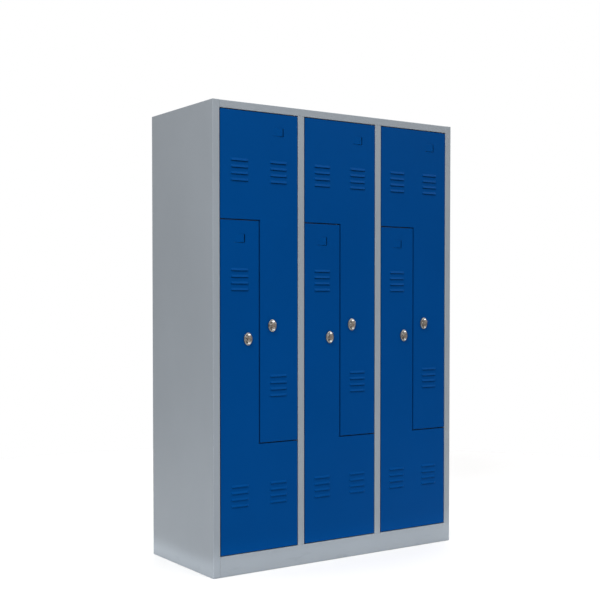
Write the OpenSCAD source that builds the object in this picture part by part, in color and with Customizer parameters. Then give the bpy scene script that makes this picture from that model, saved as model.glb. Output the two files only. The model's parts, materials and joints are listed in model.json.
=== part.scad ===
// Steel locker cabinet with three columns. Each column has two interlocking
// L-shaped doors, so the line between them runs in a Z. The origin is the centre
// of the base on the floor, +Z is up and the doors face -Y.

/* [Body] */
// Overall width of the cabinet body
body_w = 1185; // [1130:1:1260]
// Overall depth of the cabinet body, without the locks
body_d = 500; // [460:1:600]
// Overall height
body_h = 1800; // [1760:1:1900]
// Width of the post between two columns
post_w = 29.5; // [28:0.5:40]
// Width of the stile at each side
stile_w = 30; // [30:0.5:40]
// Height of the rail above the doors
rail_h = 29; // [25:1:45]
// Height of the plinth below the doors
plinth_h = 79; // [70:1:90]
// Thickness of the body's sheet steel
sheet_t = 0.8; // [0.6:0.1:0.8]

/* [Doors] */
// Height of the horizontal split at the left of a column
upper_split = 1355; // [1325:0.5:1385]
// Height of the horizontal split at the right of a column
lower_split = 497.5; // [470:0.5:530]
// Vertical split, to the right of the column's middle
split_x = -2; // [-4:0.5:4]
// Gap between a door and the frame
edge_gap = 3.5; // [3:0.5:4]
// Gap between the two doors along the vertical split
side_split_gap = 6; // [4:0.5:8]
// Gap between the two doors along a horizontal split
level_split_gap = 4.5; // [4.5:0.5:6]
// Depth of the door pan
door_d = 18; // [17:0.5:18]
// Thickness of the door's sheet steel
door_t = 1; // [0.8:0.1:1]

/* [Louvres] */
// Length of one louvre
louvre_l = 78; // [60:1:90]
// Height of one louvre
louvre_h = 11; // [8:0.5:14]
// How far a louvre stands out of the door
louvre_out = 3.5; // [2:0.5:4]
// Distance between two louvres
louvre_pitch = 25; // [20:1:30]
// Louvres in one group
louvre_count = 4; // [2:1:5]

/* [Locks] */
// Distance of a lock from the column's middle
lock_x = 55; // [48:1:60]
// Height of a lock above or below the middle of the doors
lock_z = 25; // [20:1:60]
// Width of the lock's oval rosette
rosette_w = 36.5; // [34:0.5:40]
// Length of the cam from the lock's axis to its tip
cam_l = 45; // [42:1:46]

/* [Hidden] */
$fn = 64;
columns = 3;
COLUMNS = [1 : columns];
bend_r = 1.5;          // radius of a fold, on the middle of the sheet
bend_steps = 4;
contact = 0.1;         // play between two welded sheets

opening_w = (body_w - 2 * stile_w - (columns - 1) * post_w) / columns;
pitch = opening_w + post_w;
half_w = opening_w / 2;
opening_top = body_h - rail_h;
middle_z = (upper_split + lower_split) / 2;
split_rise = (upper_split - lower_split) / 2;

lock_out = 13;                       // how far a lock stands out of the doors
y_front = (lock_out - body_d) / 2;   // the body's front plane

return_d = 24.3;       // depth of the frame's folded edges
stop_w = 14;           // width of the stop behind a door's edge
strip_w = 40;          // width of the strip behind a split
strip_t = 1.5;
rear_fold = 15;
rear_margin = 3;       // back panel's edges inside the body's folded corners
back_y = body_d - 2 * sheet_t;       // front face of the back panel

hinge_in = 13.5;       // hinge axis from the frame's edge
hinge_y = 8;           // hinge axis behind the front plane
pin_r = 3;
bore_r = 3.05;
bush_r = 4;
flange_r = 5;
bracket_t = 2;
bracket_w = 24;
hinge_x = half_w - hinge_in;

lip_w = 12;            // width of the door's back lip
group_x = 88;          // louvre groups from the column's middle
far_group_z = 620.5;   // and above the middle of the doors
near_group_z = 205;    // the group below the lock
louvre_off = [-3, -1.5];  // a louvre's middle from its place in the group, on either door
louvre_slit = 1.2;     // open slit below the louvre's lip
hood_steps = 6;
label_w = 43;
label_h = 31;
label_out = 2;
label_slit = 5;        // gap at the label tongue's free end
label_gap = 1;         // gap below it
label_x = 5.3;         // label tongue from the louvre group's middle
label_drop = 68;       // label tongue below the door's top edge

sleeve_r = 9;
shaft_r = 6;
shaft_bore_r = 6.05;
sleeve_end = 26.5;     // back end of the lock's sleeve
cam_y = 27;
cam_t = 2.5;
cam_w = 18;
spindle_w = 7.9;
rosette_l = 47.5;
rosette_t = 5.5;
rosette_rim = 4.7;      // its upright edge, from where it's bevelled
knob_r = 8.5;          // disc under the grip
eye_r = 2.5;           // hole for a padlock's shackle
eye_x = 11.5;          // distance of the eye from the lock's axis
eye_out = 8.7;         // and in front of the door
grip_t = 12;
grip_l = 40;
ear_r = 4.2;
ear_t = 3;
ear_gap = 1.5;         // between the ear and the turned grip

hook_y = 260;          // coat hooks behind the front plane
hook_r = 16;
hook_wire_r = 2.5;
hook_plate_t = 2;
hook_stem = 20;

wall_hole_r = 4.5;
wall_hole_z = 1700;

grey = [0.60, 0.63, 0.65];
blue = [0.00, 0.26, 0.50];
chrome = [0.80, 0.79, 0.76];
zinc = [0.66, 0.67, 0.68];
black = [0.08, 0.08, 0.08];

function named(word) = [for (i = COLUMNS) str(word, i)];

// ---- Folded sheet ----

function unit(v) = v / norm(v);
function left_of(v) = [-v[1], v[0]];
function turned(v, a) = [v[0] * cos(a) - v[1] * sin(a), v[0] * sin(a) + v[1] * cos(a)];

// Points with their left-hand normals along one fold of a path.
function fold(a, b, c) =
    let (u = unit(b - a), w = unit(c - b),
         angle = atan2(u[0] * w[1] - u[1] * w[0], u * w),
         side = sign(angle),
         start = b - u * bend_r * tan(abs(angle) / 2),
         centre = start + left_of(u) * side * bend_r)
    [for (k = [0 : bend_steps])
        let (n = turned(left_of(u), angle * k / bend_steps))
        [centre - n * side * bend_r, n]];

function folded(path) =
    let (last = len(path) - 1)
    concat([[path[0], left_of(unit(path[1] - path[0]))]],
           [for (i = [1 : last - 1]) each fold(path[i - 1], path[i], path[i + 1])],
           [[path[last], left_of(unit(path[last] - path[last - 1]))]]);

// Outline of a sheet whose middle follows a path with rounded folds.
function sheet_outline(path, t) =
    let (rail = folded(path))
    concat([for (q = rail) q[0] + q[1] * t / 2],
           [for (i = [len(rail) - 1 : -1 : 0]) rail[i][0] - rail[i][1] * t / 2]);

// A folded sheet that stands up: its path is in X and Y.
module upright_sheet(path, z0, z1) {
    translate([0, 0, z0]) linear_extrude(z1 - z0) polygon(sheet_outline(path, sheet_t));
}

// A folded sheet that lies across the cabinet: its path is in Y and Z.
module crosswise_sheet(path, x0, x1) {
    translate([x0, 0, 0]) rotate([90, 0, 90])
        linear_extrude(x1 - x0) polygon(sheet_outline(path, sheet_t));
}

// A flat outline in X and Z, thickened from depth y0 to depth y1.
module plate_xz(points, y0, y1) {
    translate([0, y1, 0]) rotate([90, 0, 0]) linear_extrude(y1 - y0) polygon(points);
}

module block(low, high) {
    translate(low) cube(high - low);
}

// A cylinder along Y from depth y0 to depth y1.
module rod_y(r, y0, y1) {
    translate([0, y1, 0]) rotate([90, 0, 0]) cylinder(r = r, h = y1 - y0);
}

module at_front() {
    translate([0, y_front, 0]) children();
}

function column_x(i) = (i - (columns + 1) / 2) * pitch;

// Inner faces of the walls beside a column, from the column's middle.
function left_wall(i) = i == 1 ? -(half_w + stile_w - sheet_t) : -(pitch - sheet_t) / 2;
function right_wall(i) = i == columns ? half_w + stile_w - sheet_t : (pitch - sheet_t) / 2;

// ---- Body ----

module side_panel() {
    c = sheet_t / 2;
    wall = [[stile_w - c, return_d], [stile_w - c, c], [c, c],
            [c, body_d - c], [rear_fold, body_d - c]];
    stile = [[stile_w + stop_w, return_d - c], [stile_w - c, return_d - c], [stile_w - c, c],
             [c, c], [c, body_d - c], [rear_fold, body_d - c]];
    low = plinth_h + stop_w;
    high = opening_top - stop_w;
    color(grey) translate([-body_w / 2, 0, 0]) {
        upright_sheet(wall, 0, low);
        upright_sheet(stile, low, high);
        upright_sheet(wall, high, body_h);
        block([c, return_d + 2, 0], [20, back_y - 1, sheet_t]);
    }
}

module left_side_panel() {
    at_front() side_panel();
}

module right_side_panel() {
    at_front() mirror([1, 0, 0]) side_panel();
}

module back_panel() {
    half = body_w / 2 - rear_margin;
    color(grey) at_front() difference() {
        block([-half, back_y, 0], [half, back_y + sheet_t, body_h - rear_margin]);
        for (side = [-1, 1])
            translate([side * pitch, 0, wall_hole_z])
                rod_y(wall_hole_r, back_y - 1, back_y + sheet_t + 1);
    }
}

// The roof sheet is folded down to make the rail and the stop above the doors.
module roof_panel() {
    c = sheet_t / 2;
    half = body_w / 2;
    inner = half - stile_w;
    top = body_h - c;
    path = [[return_d - c, opening_top - stop_w], [return_d - c, opening_top + c],
            [c, opening_top + c], [c, top], [body_d - c, top], [body_d - c, body_h - rear_fold]];
    color(grey) at_front() difference() {
        union() {
            crosswise_sheet(path, -inner, inner);
            for (side = [0, 1]) mirror([side, 0, 0]) {
                block([inner - 1, return_d, body_h - sheet_t],
                      [half - sheet_t, body_d - sheet_t, body_h]);
                block([inner + sheet_t, sheet_t, body_h - sheet_t],
                      [half - sheet_t, return_d + 1, body_h]);
            }
        }
        for (i = COLUMNS)
            translate([column_x(i) + hinge_x, hinge_y, opening_top - 1])
                cylinder(r = bush_r + contact, h = 4);
    }
}

// Folded down at all four edges, with tongues that close the hollow stiles.
module floor_panel() {
    half = body_w / 2 - sheet_t;
    y0 = return_d;
    y1 = back_y;
    low = plinth_h - rear_fold;
    color(grey) at_front() {
        block([-half, y0, plinth_h - sheet_t], [half, y1, plinth_h]);
        block([-half, y0, low], [half, y0 + sheet_t, plinth_h]);
        block([-half, y1 - sheet_t, low], [half, y1, plinth_h]);
        block([-half, y0, low], [sheet_t - half, y1, plinth_h]);
        block([half - sheet_t, y0, low], [half, y1, plinth_h]);
        for (side = [0, 1]) mirror([side, 0, 0])
            block([half - stile_w + 3 * sheet_t, sheet_t + contact, plinth_h - sheet_t],
                  [half - contact, y0 + sheet_t, plinth_h]);
    }
}

module plinth() {
    c = sheet_t / 2;
    inner = body_w / 2 - stile_w;
    path = [[return_d - c, plinth_h + stop_w], [return_d - c, plinth_h - c],
            [c, plinth_h - c], [c, c], [return_d, c]];
    color(grey) at_front() difference() {
        crosswise_sheet(path, -inner, inner);
        for (i = COLUMNS)
            translate([column_x(i) - hinge_x, hinge_y, plinth_h - 3])
                cylinder(r = bush_r + contact, h = 4);
    }
}

// Full-height wall between two columns, folded at the front and the back.
module partition(i) {
    c = sheet_t / 2;
    path = [[22, return_d + c], [0, return_d + c], [0, back_y - c], [12, back_y - c]];
    color(grey) at_front() translate([column_x(i) + pitch / 2, 0, 0])
        upright_sheet(path, plinth_h, body_h - sheet_t);
}

// Post in front of a partition, with a stop for the doors at each side.
module post(i) {
    c = sheet_t / 2;
    half = post_w / 2;
    face = [[-half + c, return_d], [-half + c, c], [half - c, c], [half - c, return_d]];
    stops = [[-half - stop_w, return_d - c], [-half + c, return_d - c], [-half + c, c],
             [half - c, c], [half - c, return_d - c], [half + stop_w, return_d - c]];
    low = plinth_h + stop_w;
    high = opening_top - stop_w;
    color(grey) at_front() translate([column_x(i) + pitch / 2, 0, 0]) {
        difference() {
            upright_sheet(face, plinth_h, low);
            block([-half, return_d - sheet_t, plinth_h - 1], [half, return_d + 1, low]);
        }
        upright_sheet(stops, low, high);
        difference() {
            upright_sheet(face, high, opening_top);
            block([-half, return_d - sheet_t, high], [half, return_d + 1, opening_top + 1]);
        }
    }
}

// Z-folded sheet that divides a column into its two compartments.
module z_partition(i) {
    c = sheet_t / 2;
    left = left_wall(i) + c + contact;
    right = right_wall(i) - c - contact;
    path = [[left, upper_split + rear_fold], [left, upper_split], [split_x, upper_split],
            [split_x, lower_split], [right, lower_split], [right, lower_split - rear_fold]];
    color(grey) at_front() translate([column_x(i), 0, 0])
        plate_xz(sheet_outline(path, sheet_t), return_d + sheet_t + contact, back_y - sheet_t);
}

// Flat strips behind the splits, which both doors close against.
module stop_strips() {
    half = strip_w / 2;
    left = split_x - half;
    right = split_x + half;
    y0 = return_d - sheet_t;
    y1 = y0 + strip_t;
    color(grey) at_front() for (i = COLUMNS) translate([column_x(i), 0, 0]) {
        block([left, y0, lower_split - half], [right, y1, upper_split + half]);
        block([stop_w - half_w, y0, upper_split - half], [left, y1, upper_split + half]);
        block([right, y0, lower_split - half], [half_w - stop_w, y1, lower_split + half]);
    }
}

// ---- Hinges ----

// Places the children at both mid-height hinges: side 1 carries an upper door.
module at_mid_hinges() {
    for (i = COLUMNS, side = [-1, 1])
        translate([column_x(i) + side * hinge_x, hinge_y, middle_z - side * split_rise])
            mirror([side < 0 ? 1 : 0, 0, 0]) children();
}

module hinge_brackets() {
    color(black) at_front() at_mid_hinges() difference() {
        block([hinge_in - bracket_w, 3 - hinge_y, -bracket_t / 2],
              [hinge_in, return_d - sheet_t - hinge_y, bracket_t / 2]);
        translate([0, 0, -bracket_t]) cylinder(r = bush_r + contact, h = 2 * bracket_t);
    }
}

// Flanged bush: its flange lies from z = 0 down and its body goes up from there.
module bush(body_l, flange_t) {
    difference() {
        union() {
            cylinder(r = bush_r, h = body_l);
            translate([0, 0, -flange_t]) cylinder(r = flange_r, h = flange_t);
        }
        translate([0, 0, -flange_t - 1]) cylinder(r = bore_r, h = body_l + flange_t + 2);
    }
}

module hinge_bushes() {
    color(black) at_front() for (i = COLUMNS) translate([column_x(i), hinge_y, 0]) {
        translate([hinge_x, 0, opening_top]) bush(2.5, 1);
        translate([hinge_x, 0, lower_split + bracket_t / 2]) mirror([0, 0, 1]) bush(bracket_t, 0.8);
        translate([-hinge_x, 0, upper_split - bracket_t / 2]) bush(bracket_t, 0.8);
        translate([-hinge_x, 0, plinth_h]) mirror([0, 0, 1]) bush(2.5, 1);
    }
}

// Rubber buffers on the stops that face each door's free edge.
module door_bumpers() {
    x = half_w - stop_w + 5.5;
    y1 = return_d - sheet_t;
    color(black) at_front() for (i = COLUMNS, side = [-1, 1], z = [split_rise + 45, split_rise + 360])
        translate([column_x(i) + side * x, 0, middle_z - side * z])
            rod_y(4.5, door_d + 0.3, y1);
}

// Double hook of bent wire under a plate, which is fixed at z = 0.
module coat_hook() {
    bottom = hook_plate_t + hook_stem;
    block([-10, -20, -hook_plate_t], [10, 20, 0]);
    translate([0, 0, -bottom - hook_wire_r]) cylinder(r = hook_wire_r, h = hook_stem + hook_wire_r + 1);
    translate([0, 0, hook_r - bottom - hook_wire_r]) rotate([90, 180, 90])
        rotate_extrude(angle = 180) translate([hook_r, 0]) circle(r = hook_wire_r);
    for (side = [-1, 1])
        translate([0, side * hook_r, hook_r - bottom - hook_wire_r]) sphere(r = hook_wire_r + 1.5);
}

module coat_hooks() {
    color(zinc) at_front() for (i = COLUMNS) translate([column_x(i), hook_y, 0]) {
        translate([group_x, 0, body_h - sheet_t]) coat_hook();
        translate([-group_x, 0, upper_split - sheet_t / 2]) coat_hook();
    }
}

// ---- Doors ----

// Height of a door's wide end from the middle of the doors.
function door_end(upper) = (upper ? opening_top - middle_z : middle_z - plinth_h) - edge_gap;

// Height of a door's narrow end from the middle of the doors.
function door_foot() = level_split_gap / 2 - split_rise;

// Outline of an upper door or a turned lower door, drawn in from its edge.
function door_outline(inset, upper) =
    let (side = half_w - edge_gap - inset,
         split = (upper ? split_x : -split_x) + side_split_gap / 2 + inset,
         top = door_end(upper) - inset,
         step = split_rise + level_split_gap / 2 + inset,
         foot = door_foot() + inset)
    [[-side, top], [side, top], [side, foot], [split, foot], [split, step], [-side, step]];

// Puts an upper door's parts in a column. A lower door's are turned by half a turn.
module in_column(i, upper) {
    at_front() translate([column_x(i), 0, middle_z]) rotate([0, upper ? 0 : 180, 0])
        children();
}

// Undoes the half turn at one point of a door, for what keeps its way up.
module right_way_up(x, z, upper) {
    translate([x, 0, z]) rotate([0, upper ? 0 : 180, 0]) children();
}

function louvre_groups() =
    [[group_x, far_group_z], [-group_x, far_group_z], [group_x, -near_group_z]];

function louvre_level(k) = (k - (louvre_count - 1) / 2) * louvre_pitch;

// Places the children at the middle of each louvre of a door.
module at_louvres(upper) {
    for (group = louvre_groups(), k = [0 : louvre_count - 1])
        right_way_up(group[0], group[1] + louvre_level(k), upper)
            translate([louvre_off[0], 0, louvre_off[1]]) children();
}

// Rise of a pressed hood, from its flush edge at t = 0 to its lip at t = 1.
function rise(t) = (1 - cos(180 * t)) / 2;

// Solid form of a hood with mitred ends, whose lip is its lower edge.
module hood_form(length, height, out) {
    back = door_t;
    side_view = concat([[back, height / 2]],
                       [for (k = [0 : hood_steps])
                           [-out * rise(k / hood_steps), height * (0.5 - k / hood_steps)]],
                       [[back, -height / 2]]);
    end = length / 2;
    top_view = [[-end, back], [-end, 0], [1.5 * out - end, -out], [end - 1.5 * out, -out],
                [end, 0], [end, back]];
    intersection() {
        rotate([90, 0, 90]) translate([0, 0, -end]) linear_extrude(length) polygon(side_view);
        translate([0, 0, -height / 2]) linear_extrude(height) polygon(top_view);
    }
}

// Hollow behind a hood, with an open slit below its lip.
module hood_hollow(length, height, out, slit) {
    end = length / 2 - door_t;
    translate([0, door_t, 0]) hood_form(2 * end, height, out);
    block([-end, -out - 1, -height / 2 - slit], [end, 2 * door_t, -height / 2]);
}

// Puts the label tongue near the top of either door, with its free end to the right.
module at_label(upper) {
    x = upper ? group_x - label_x : group_x + label_x;
    z = upper ? door_end(true) - label_drop : door_foot() + label_drop;
    right_way_up(x, z, upper) children();
}

// Tongue that is cut free on three sides and pressed out, for a card to slide behind.
module label_tongue() {
    front = [for (k = [0 : hood_steps])
        [label_w * (k / hood_steps - 0.5), -label_out * rise(k / hood_steps)]];
    root = -label_w / 2 - 1;
    sheet = concat([[root, 0]], front,
                   [for (k = [hood_steps : -1 : 0]) front[k] + [0, door_t]],
                   [[root, door_t]]);
    translate([0, 0, -label_h / 2]) linear_extrude(label_h) polygon(sheet);
}

module label_window() {
    half = label_h / 2;
    block([-label_w / 2, -1, -half - label_gap],
          [label_w / 2 + label_slit, door_t + 1, half + contact]);
}

module door_pan(upper) {
    difference() {
        union() {
            difference() {
                plate_xz(door_outline(0, upper), 0, door_d);
                plate_xz(door_outline(door_t, upper), door_t, door_d - door_t);
                plate_xz(door_outline(lip_w, upper), door_d / 2, door_d + 1);
                at_label(upper) label_window();
            }
            at_louvres(upper) hood_form(louvre_l, louvre_h, louvre_out);
            at_label(upper) label_tongue();
        }
        at_louvres(upper) hood_hollow(louvre_l, louvre_h, louvre_out, louvre_slit);
        translate([lock_x, 0, lock_z]) rod_y(sleeve_r + 0.2, -1, door_t + 1);
        translate([hinge_x, hinge_y, door_foot() - 1])
            cylinder(r = bore_r, h = door_end(upper) - door_foot() + 2);
    }
}

module door(i, upper) {
    color(blue) in_column(i, upper) door_pan(upper);
}

// Hat-shaped channel that stiffens the door beside its hinges.
module door_stiffener(i, upper) {
    c = sheet_t / 2;
    x = hinge_x - 21.5;
    skin = door_t + c;
    crown = 12.6;
    path = [[-14, skin], [-8, skin], [-8, crown], [8, crown], [8, skin], [14, skin]];
    margin = door_t + contact;
    color(blue) in_column(i, upper) translate([x, 0, 0])
        upright_sheet(path, door_foot() + margin, door_end(upper) - margin);
}

// Two pins with collars inside the door: one up and one down from its ends.
module hinge_pins(i, upper) {
    top = door_end(upper);
    foot = door_foot();
    reach_top = edge_gap + 3;
    reach_foot = level_split_gap / 2 + bracket_t / 2;
    collar_r = 6;
    collar_l = 3;
    color(zinc) in_column(i, upper) translate([hinge_x, hinge_y, 0]) {
        translate([0, 0, top - 20]) cylinder(r = pin_r, h = 20 + reach_top);
        translate([0, 0, top - door_t - collar_l - contact]) cylinder(r = collar_r, h = collar_l);
        translate([0, 0, foot - reach_foot]) cylinder(r = pin_r, h = 20 + reach_foot);
        translate([0, 0, foot + door_t + contact]) cylinder(r = collar_r, h = collar_l);
    }
}

// ---- Locks ----

// Puts a lock's parts on a door's lock hole, in front of which -Y stays.
module at_lock(i, upper) {
    in_column(i, upper) right_way_up(lock_x, lock_z, upper)
        mirror([upper ? 0 : 1, 0, 0]) children();
}

// Disc on the door with a bevelled edge.
module bevelled_disc(r) {
    bevel = 2 * (rosette_t - rosette_rim);
    rotate([90, 0, 0]) rotate_extrude()
        polygon([[0, 0], [r, 0], [r, rosette_rim], [r - bevel, rosette_t], [0, rosette_t]]);
}

// Pointed oval where two wide discs overlap, with its ends rounded by a third.
module rosette() {
    tip = rosette_l / 2 + 1.5;
    half = rosette_w / 2;
    shift = (tip * tip / half - half) / 2;
    intersection() {
        translate([shift, 0, 0]) bevelled_disc(half + shift);
        translate([-shift, 0, 0]) bevelled_disc(half + shift);
        bevelled_disc(rosette_l / 2);
    }
}

// Rosette and sleeve, with an ear whose eye lines up with the turned grip's eye.
module lock_housing(i, upper) {
    ear_z = grip_t / 2 + ear_gap;
    color(chrome) at_lock(i, upper) difference() {
        union() {
            rosette();
            rod_y(sleeve_r, -1, sleeve_end);
            block([eye_x - ear_r, -eye_out, ear_z], [eye_x + 1, 1 - rosette_t, ear_z + ear_t]);
            translate([eye_x, -eye_out, ear_z]) cylinder(r = ear_r, h = ear_t);
        }
        translate([eye_x, -eye_out, 0]) cylinder(r = eye_r, h = 20);
        rod_y(shaft_bore_r, -rosette_t - 1, sleeve_end + 1);
    }
}

module lock_nut(i, upper) {
    color(zinc) at_lock(i, upper) difference() {
        translate([0, door_t + 4, 0]) rotate([90, 0, 0]) cylinder(r = 13.8, h = 4, $fn = 6);
        rod_y(sleeve_r + 0.05, 0, 6);
    }
}

// Side view of the grip: distance in front of the door and height.
function grip_side(head) =
    concat([[-head, grip_l / 2]],
           [for (a = [10 : 10 : 170])
               [-head - 1 - (lock_out - head - 1) * sqrt(sin(a)), grip_l / 2 * cos(a)]],
           [[-head, -grip_l / 2]]);

// Upright grip with round ends and a crowned front.
module grip(head) {
    end_z = (grip_l - grip_t) / 2;
    intersection() {
        rotate([90, 0, 90]) translate([0, 0, -grip_t / 2])
            linear_extrude(grip_t) polygon(grip_side(head));
        union() {
            block([-grip_t / 2, -lock_out - 1, -end_z], [grip_t / 2, 0, end_z]);
            for (z = [-end_z, end_z])
                translate([0, 0, z]) rod_y(grip_t / 2, -lock_out - 1, 0);
        }
    }
}

// Turning knob: a disc, the grip with a padlock hole, the shaft and its spindle.
module lock_knob(i, upper) {
    head = rosette_t + 0.4;
    color(chrome) at_lock(i, upper) difference() {
        union() {
            rod_y(knob_r, -head - 4, -head);
            rod_y(shaft_r, -head - 1, cam_y - 0.2);
            rod_y(pin_r, cam_y + cam_t, cam_y + cam_t + 3.7);
            block([-spindle_w / 2, cam_y - 1, -spindle_w / 2],
                  [spindle_w / 2, cam_y + cam_t + 0.1, spindle_w / 2]);
            grip(head);
        }
        translate([-10, -eye_out, -eye_x]) rotate([0, 90, 0]) cylinder(r = eye_r, h = 20);
    }
}

// Cam on the knob's spindle, pointing up while the lock is open, and its nut.
module lock_cam(i, upper) {
    hole = spindle_w / 2 + 0.05;
    end_r = cam_w / 2;
    color(zinc) at_lock(i, upper) {
        difference() {
            union() {
                rod_y(end_r, cam_y, cam_y + cam_t);
                block([-end_r, cam_y, 0], [end_r, cam_y + cam_t, cam_l - end_r]);
                translate([0, 0, cam_l - end_r]) rod_y(end_r, cam_y, cam_y + cam_t);
            }
            block([-hole, cam_y - 1, -hole], [hole, cam_y + cam_t + 1, hole]);
        }
        difference() {
            translate([0, cam_y + cam_t + 3.6, 0]) rotate([90, 0, 0])
                cylinder(r = 5.8, h = 3.4, $fn = 6);
            rod_y(bore_r, cam_y, cam_y + cam_t + 5);
        }
    }
}

// ---- Nodes ----

left_side_panel();
right_side_panel();
back_panel();
roof_panel();
floor_panel();
plinth();
stop_strips();
hinge_brackets();
hinge_bushes();
door_bumpers();
coat_hooks();
for (i = [1 : columns - 1]) {
    partition(i);
    post(i);
}
for (i = COLUMNS) {
    z_partition(i);
    for (upper = [true, false]) {
        level = upper ? "upper_" : "lower_";
        door(i, upper);
        door_stiffener(i, upper);
        hinge_pins(i, upper);
        lock_housing(i, upper);
        lock_nut(i, upper);
        lock_knob(i, upper);
        lock_cam(i, upper);
    }
}
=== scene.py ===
import json
import math

import bmesh
import bpy
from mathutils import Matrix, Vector


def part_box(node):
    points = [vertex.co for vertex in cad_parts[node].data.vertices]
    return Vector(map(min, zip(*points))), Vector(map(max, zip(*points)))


# Linear colours of the finishes.
BODY_GREY = (0.215, 0.243, 0.272)
DOOR_BLUE = (0.0, 0.0398, 0.171)
NICKEL = (0.60, 0.59, 0.57)
ZINC = (0.52, 0.53, 0.54)
NYLON = (0.012, 0.012, 0.013)
RUBBER = (0.018, 0.018, 0.018)
RUBBER_DUST = (0.10, 0.10, 0.095)
DARK_STEEL = (0.016, 0.016, 0.018)
BARE_STEEL = (0.10, 0.10, 0.10)
WHITE = (1.0, 1.0, 1.0)
GLOSS_BLUE = (0.05, 0.65, 1.0)

# Radius of the white floor, and the light of the room by how far up it comes from.
FLOOR_R = 3.2
ROOM_STRENGTH = 2.08
ROOM_LIGHT = (
    (0.0, (0.13, 0.11, 0.095)),
    (0.18, (0.16, 0.14, 0.125)),
    (0.55, (0.50, 0.50, 0.50)),
    (1.0, (0.80, 0.80, 0.80)),
)

# The camera's place, how many degrees it's turned to the right and up, and its lens.
CAMERA_AT = (-2.6168, -3.7850, 1.0481)
CAMERA_TURN = 34.33
CAMERA_TILT = -1.55
SENSOR_MM = 36.0
LENS_MM = 65.26
SHIFT_UP = 0.05

# How far out from the cabinet's front the locks' metal keeps its own colour, and how near the door it
# is fully painted darker as painted shade.
UNSHADED_OUT = 0.0065
SHADED_OUT = 0.0045

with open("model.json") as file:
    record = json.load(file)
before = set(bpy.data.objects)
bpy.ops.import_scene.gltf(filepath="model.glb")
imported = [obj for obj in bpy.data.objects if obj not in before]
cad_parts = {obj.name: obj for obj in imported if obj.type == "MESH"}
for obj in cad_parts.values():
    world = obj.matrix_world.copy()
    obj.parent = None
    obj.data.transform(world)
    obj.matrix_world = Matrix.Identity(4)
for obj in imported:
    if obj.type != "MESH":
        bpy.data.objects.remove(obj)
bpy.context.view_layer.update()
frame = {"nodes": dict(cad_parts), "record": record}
FRONT_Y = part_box("left_side_panel")[0][1]


# ---- Node helpers ----

class Shader:
    """Builds one material's node tree in short steps."""

    def __init__(self, name):
        self.material = bpy.data.materials.new(name)
        self.material.use_nodes = True
        self.tree = self.material.node_tree
        self.bsdf = self.tree.nodes["Principled BSDF"]
        coords = self.tree.nodes.new("ShaderNodeTexCoord")
        self.position = coords.outputs["Object"]

    def node(self, kind, **settings):
        made = self.tree.nodes.new(kind)
        for name, value in settings.items():
            setattr(made, name, value)
        return made

    def link(self, source, target):
        self.tree.links.new(source, target)

    def stretched(self, factors):
        """Object coordinates with each axis scaled on its own."""
        mapping = self.node("ShaderNodeMapping")
        mapping.inputs["Scale"].default_value = factors
        self.link(self.position, mapping.inputs["Vector"])
        return mapping.outputs["Vector"]

    def noise(self, scale, detail=2.0, roughness=0.5, vector=None):
        made = self.node("ShaderNodeTexNoise")
        made.inputs["Scale"].default_value = scale
        made.inputs["Detail"].default_value = detail
        made.inputs["Roughness"].default_value = roughness
        self.link(vector or self.position, made.inputs["Vector"])
        return made.outputs["Fac"]

    def ramp(self, value, low, high, start=0.0, end=1.0):
        """Maps value from low..high to start..end, clamped."""
        made = self.node("ShaderNodeMapRange", clamp=True)
        self.link(value, made.inputs["Value"])
        made.inputs["From Min"].default_value = low
        made.inputs["From Max"].default_value = high
        made.inputs["To Min"].default_value = start
        made.inputs["To Max"].default_value = end
        return made.outputs["Result"]

    def maths(self, operation, a, b):
        made = self.node("ShaderNodeMath", operation=operation)
        for socket, value in zip(made.inputs, (a, b)):
            if isinstance(value, (int, float)):
                socket.default_value = value
            else:
                self.link(value, socket)
        return made.outputs["Value"]

    def mix(self, factor, a, b):
        made = self.node("ShaderNodeMix", data_type="RGBA")
        if isinstance(factor, (int, float)):
            made.inputs["Factor"].default_value = factor
        else:
            self.link(factor, made.inputs["Factor"])
        for socket, value in ((made.inputs["A"], a), (made.inputs["B"], b)):
            if isinstance(value, tuple):
                socket.default_value = (*value, 1.0)
            else:
                self.link(value, socket)
        return made.outputs["Result"]

    def bump(self, height, distance, strength=1.0, normal=None):
        made = self.node("ShaderNodeBump")
        made.inputs["Strength"].default_value = strength
        made.inputs["Distance"].default_value = distance
        self.link(height, made.inputs["Height"])
        if normal is not None:
            self.link(normal, made.inputs["Normal"])
        return made.outputs["Normal"]

    def round_normal(self, radius, samples=4):
        """The surface's normal, turned near edges as if they were rounded."""
        bevel = self.node("ShaderNodeBevel", samples=samples)
        bevel.inputs["Radius"].default_value = radius
        return bevel.outputs["Normal"]

    def edge_mask(self, radius):
        """1 on sharp edges and 0 on flat faces."""
        geometry = self.node("ShaderNodeNewGeometry")
        dot = self.node("ShaderNodeVectorMath", operation="DOT_PRODUCT")
        self.link(self.round_normal(radius), dot.inputs[0])
        self.link(geometry.outputs["Normal"], dot.inputs[1])
        return self.ramp(dot.outputs["Value"], 0.98, 0.80)

    def along(self, axis):
        """The coordinate along X, Y or Z."""
        split = self.node("ShaderNodeSeparateXYZ")
        self.link(self.position, split.inputs["Vector"])
        return split.outputs[axis]


def tone(colour, factor):
    return tuple(min(1.0, c * factor) for c in colour)


# ---- Materials ----

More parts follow.
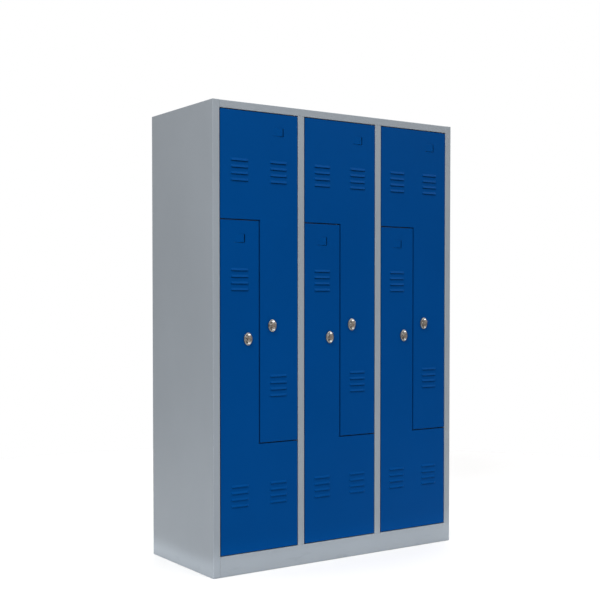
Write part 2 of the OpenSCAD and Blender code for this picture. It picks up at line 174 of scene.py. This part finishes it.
def powder_coat(name, colour, edge_wear_and_highlight, edge_width, roughness, specular, gloss_tint, foot_scuffs):
    """Sprayed and baked paint: fine orange peel, slightly uneven gloss, edges that shine.

    foot_scuffs adds darker streaks near the floor. The edges are painted lighter: a painted
    highlight, and on dark steel the bare steel of wear.
    """
    s = Shader(name)
    cloud = s.noise(2.2, 3.0)
    speck = s.noise(900.0, 2.0)
    base = s.mix(s.ramp(cloud, 0.3, 0.7), tone(colour, 0.965), tone(colour, 1.03))
    base = s.mix(s.ramp(speck, 0.35, 0.65, 0.0, 0.10), base, tone(colour, 1.22))
    # Painted highlight: edges are painted lighter in patches; on dark steel this is bare steel
    # showing through wear.
    patchy = s.ramp(s.noise(35.0, 4.0), 0.35, 0.65, 0.35, 1.0)
    edge = s.maths("MULTIPLY", s.edge_mask(edge_width), patchy)
    base = s.mix(s.maths("MULTIPLY", edge, 0.8), base, edge_wear_and_highlight)
    if foot_scuffs:
        low = s.ramp(s.along("Z"), 0.10, 0.0)
        streak = s.noise(14.0, 6.0, 0.65, s.stretched((1.0, 1.0, 3.5)))
        scuff = s.maths("MULTIPLY", low, s.ramp(streak, 0.56, 0.70))
        base = s.mix(s.maths("MULTIPLY", scuff, 0.22), base, tone(colour, 0.45))
    s.link(base, s.bsdf.inputs["Base Color"])
    gloss = s.ramp(s.noise(5.0, 4.0), 0.3, 0.7, roughness - 0.04, roughness + 0.05)
    smooth_edge = s.maths("MULTIPLY", edge, 0.08)
    s.link(s.maths("SUBTRACT", gloss, smooth_edge), s.bsdf.inputs["Roughness"])
    s.bsdf.inputs["Specular IOR Level"].default_value = specular
    s.bsdf.inputs["Specular Tint"].default_value = (*gloss_tint, 1.0)
    sheet_wave = s.bump(s.noise(1.6, 1.0), 0.010, 0.20, s.round_normal(0.0015, 8))
    peel = s.bump(s.noise(420.0, 2.0), 0.00025, 0.35, sheet_wave)
    s.link(peel, s.bsdf.inputs["Normal"])
    return s.material


def plated_metal(name, colour, roughness, scratch_scale, brushed, painted_shade_depths=None):
    """Plated steel or zinc casting with hairline scratches and duller patches.

    From the first to the second of two depths along Y, towards the door, it is painted darker and
    duller: painted shade where it sits close to the door. Its edges are painted lighter as a painted
    glint.
    """
    s = Shader(name)
    s.bsdf.inputs["Metallic"].default_value = 1.0
    cloud = s.noise(60.0, 4.0)
    base = s.mix(s.ramp(cloud, 0.3, 0.7), tone(colour, 0.86), tone(colour, 1.10))
    # Painted glint: sharp edges are painted lighter.
    edge = s.edge_mask(0.0008)
    base = s.mix(s.maths("MULTIPLY", edge, 0.5), base, tone(colour, 1.2))
    patch = s.noise(90.0, 3.0)
    dull = s.ramp(patch, 0.35, 0.70, roughness, roughness + 0.16)
    if painted_shade_depths:
        # Painted shade: metal close to the door is painted darker.
        painted_shade = s.ramp(s.along("Y"), *painted_shade_depths)
        base = s.mix(s.maths("MULTIPLY", painted_shade, 0.9), base, tone(colour, 0.30))
        dull = s.maths("ADD", dull, s.maths("MULTIPLY", painted_shade, 0.2))
    s.link(base, s.bsdf.inputs["Base Color"])
    hair = s.noise(scratch_scale, 5.0, 0.6, s.stretched(brushed))
    s.link(s.maths("ADD", dull, s.ramp(hair, 0.4, 0.7, 0.0, 0.10)), s.bsdf.inputs["Roughness"])
    s.link(s.bump(hair, 0.00012, 0.30), s.bsdf.inputs["Normal"])
    return s.material


def nylon():
    s = Shader("nylon")
    cloud = s.noise(150.0, 3.0)
    base = s.mix(cloud, tone(NYLON, 0.88), tone(NYLON, 1.05))
    s.link(base, s.bsdf.inputs["Base Color"])
    s.link(s.ramp(cloud, 0.3, 0.7, 0.42, 0.55), s.bsdf.inputs["Roughness"])
    s.bsdf.inputs["Subsurface Weight"].default_value = 0.05
    s.link(s.bump(s.noise(1500.0), 0.00005, 0.4), s.bsdf.inputs["Normal"])
    return s.material


def rubber():
    s = Shader("rubber")
    dust = s.ramp(s.noise(250.0, 5.0, 0.65), 0.50, 0.72)
    base = s.mix(s.maths("MULTIPLY", dust, 0.4), RUBBER, RUBBER_DUST)
    s.link(base, s.bsdf.inputs["Base Color"])
    s.link(s.ramp(dust, 0.0, 1.0, 0.62, 0.85), s.bsdf.inputs["Roughness"])
    s.link(s.bump(s.noise(1800.0), 0.00008, 0.5), s.bsdf.inputs["Normal"])
    return s.material


# The second colour of each paint is its painted edge highlight; for dark steel it is bare steel worn
# through.
FINISHES = {
    "body_paint": powder_coat("body_paint", BODY_GREY, tone(BODY_GREY, 1.5), 0.0035,
                              0.42, 0.28, WHITE, True),
    "door_paint": powder_coat("door_paint", DOOR_BLUE, tone(DOOR_BLUE, 1.6), 0.0012,
                              0.38, 0.06, GLOSS_BLUE, False),
    "nickel": plated_metal("nickel", NICKEL, 0.12, 700.0, (1.0, 1.0, 0.12),
                           (FRONT_Y - UNSHADED_OUT, FRONT_Y - SHADED_OUT)),
    "zinc_steel": plated_metal("zinc_steel", ZINC, 0.30, 500.0, (1.0, 0.2, 0.2)),
    "bush_plastic": nylon(),
    "dark_steel": powder_coat("dark_steel", DARK_STEEL, BARE_STEEL, 0.0012,
                              0.45, 0.25, WHITE, False),
    "rubber": rubber(),
}


# ---- CAD nodes ----

# How far each finish softens a sharp edge, in metres. Cut sheets keep theirs.
EDGE_RADIUS = {"body_paint": 0.0003, "door_paint": 0.0004, "nickel": 0.0003, "zinc_steel": 0.0003}
CUT_SHEETS = ("back_panel",)


def rounded(obj, width):
    """Softens a CAD node's sharp edges without moving its vertices."""
    weld = obj.modifiers.new("weld", "WELD")
    weld.merge_threshold = 0.00002
    bevel = obj.modifiers.new("edge", "BEVEL")
    bevel.width = width
    bevel.segments = 2
    bevel.limit_method = "ANGLE"
    bevel.angle_limit = math.radians(30)
    bevel.use_clamp_overlap = True
    bevel.harden_normals = True


def finish_cad_nodes():
    slots = {row["node"]: row["material_slot"] for row in frame["record"]["subparts"]}
    for name, obj in frame["nodes"].items():
        obj.data.materials.clear()
        obj.data.materials.append(FINISHES[slots[name]])
        if slots[name] in EDGE_RADIUS and name not in CUT_SHEETS:
            rounded(obj, EDGE_RADIUS[slots[name]])


# ---- Stage ----

def pale(name, colour, roughness):
    s = Shader(name)
    cloud = s.noise(0.6, 3.0)
    s.link(s.mix(cloud, tone(colour, 0.995), colour), s.bsdf.inputs["Base Color"])
    s.bsdf.inputs["Roughness"].default_value = roughness
    return s.material


def make_floor():
    mesh = bpy.data.meshes.new("floor")
    bm = bmesh.new()
    bmesh.ops.create_circle(bm, cap_ends=True, radius=FLOOR_R, segments=128)
    bm.to_mesh(mesh)
    bm.free()
    floor = bpy.data.objects.new("floor", mesh)
    floor.location.z = -0.0005
    floor.data.materials.append(pale("floor", (0.78, 0.78, 0.78), 0.8))
    bpy.context.scene.collection.objects.link(floor)


def make_world():
    """White behind the cabinet; for the light, a bright ceiling over a dim warm room."""
    world = bpy.data.worlds.new("studio")
    world.use_nodes = True
    tree = world.node_tree
    room = tree.nodes["Background"]
    coords = tree.nodes.new("ShaderNodeTexCoord")
    split = tree.nodes.new("ShaderNodeSeparateXYZ")
    tree.links.new(coords.outputs["Generated"], split.inputs["Vector"])
    ramp = tree.nodes.new("ShaderNodeValToRGB")
    tree.links.new(split.outputs["Z"], ramp.inputs["Fac"])
    stops = ramp.color_ramp.elements
    stops[0].position, stops[0].color = ROOM_LIGHT[0][0], (*ROOM_LIGHT[0][1], 1.0)
    stops[1].position, stops[1].color = ROOM_LIGHT[-1][0], (*ROOM_LIGHT[-1][1], 1.0)
    for place, colour in ROOM_LIGHT[1:-1]:
        stops.new(place).color = (*colour, 1.0)
    tree.links.new(ramp.outputs["Color"], room.inputs["Color"])
    room.inputs["Strength"].default_value = ROOM_STRENGTH
    white = tree.nodes.new("ShaderNodeBackground")
    white.inputs["Color"].default_value = (1.0, 1.0, 1.0, 1.0)
    seen = tree.nodes.new("ShaderNodeLightPath")
    choice = tree.nodes.new("ShaderNodeMixShader")
    tree.links.new(seen.outputs["Is Camera Ray"], choice.inputs["Fac"])
    tree.links.new(room.outputs["Background"], choice.inputs[1])
    tree.links.new(white.outputs["Background"], choice.inputs[2])
    tree.links.new(choice.outputs["Shader"], tree.nodes["World Output"].inputs["Surface"])
    bpy.context.scene.world = world


def soft_light(name, place, target, size, power, spread=180):
    lamp = bpy.data.lights.new(name, "AREA")
    lamp.spread = math.radians(spread)
    lamp.shape = "RECTANGLE"
    lamp.size, lamp.size_y = size
    lamp.energy = power
    obj = bpy.data.objects.new(name, lamp)
    obj.location = place
    obj.rotation_euler = (Vector(target) - Vector(place)).to_track_quat("-Z", "Y").to_euler()
    bpy.context.scene.collection.objects.link(obj)


def make_lights():
    """Two big lamps in front, a weak one behind, and two strips that light the foot."""
    middle = (0.0, 0.0, 0.9)
    soft_light("key", (-3.3, -2.5, 4.6), middle, (2.2, 2.2), 200.0)
    soft_light("foot", (0.0, -1.6, 0.045), (0.0, -0.25, 0.04), (2.0, 0.05), 0.22, spread=8)
    soft_light("side_foot", (-1.9, 0.0, 0.03), (-0.59, 0.0, 0.025), (0.9, 0.05), 0.10, spread=5)
    soft_light("fill", (2.5, -3.4, 3.7), (0.3, 0.0, 1.1), (3.0, 2.4), 49.0)
    soft_light("back", (2.4, 3.8, 2.6), middle, (2.0, 2.0), 14.0, spread=36)


def make_camera():
    """Stands where the photographer stood: left of the front, at chest height."""
    turn = math.radians(CAMERA_TURN)
    tilt = math.radians(CAMERA_TILT)
    data = bpy.data.cameras.new("camera")
    data.sensor_width = SENSOR_MM
    data.lens = LENS_MM
    data.shift_y = SHIFT_UP
    data.clip_end = 100.0
    camera = bpy.data.objects.new("camera", data)
    camera.location = CAMERA_AT
    ahead = Vector((math.sin(turn) * math.cos(tilt), math.cos(turn) * math.cos(tilt), math.sin(tilt)))
    camera.rotation_euler = ahead.to_track_quat("-Z", "Y").to_euler()
    bpy.context.scene.collection.objects.link(camera)
    bpy.context.scene.camera = camera


finish_cad_nodes()
make_floor()
make_world()
make_lights()
make_camera()
bpy.context.scene.view_settings.view_transform = "Standard"
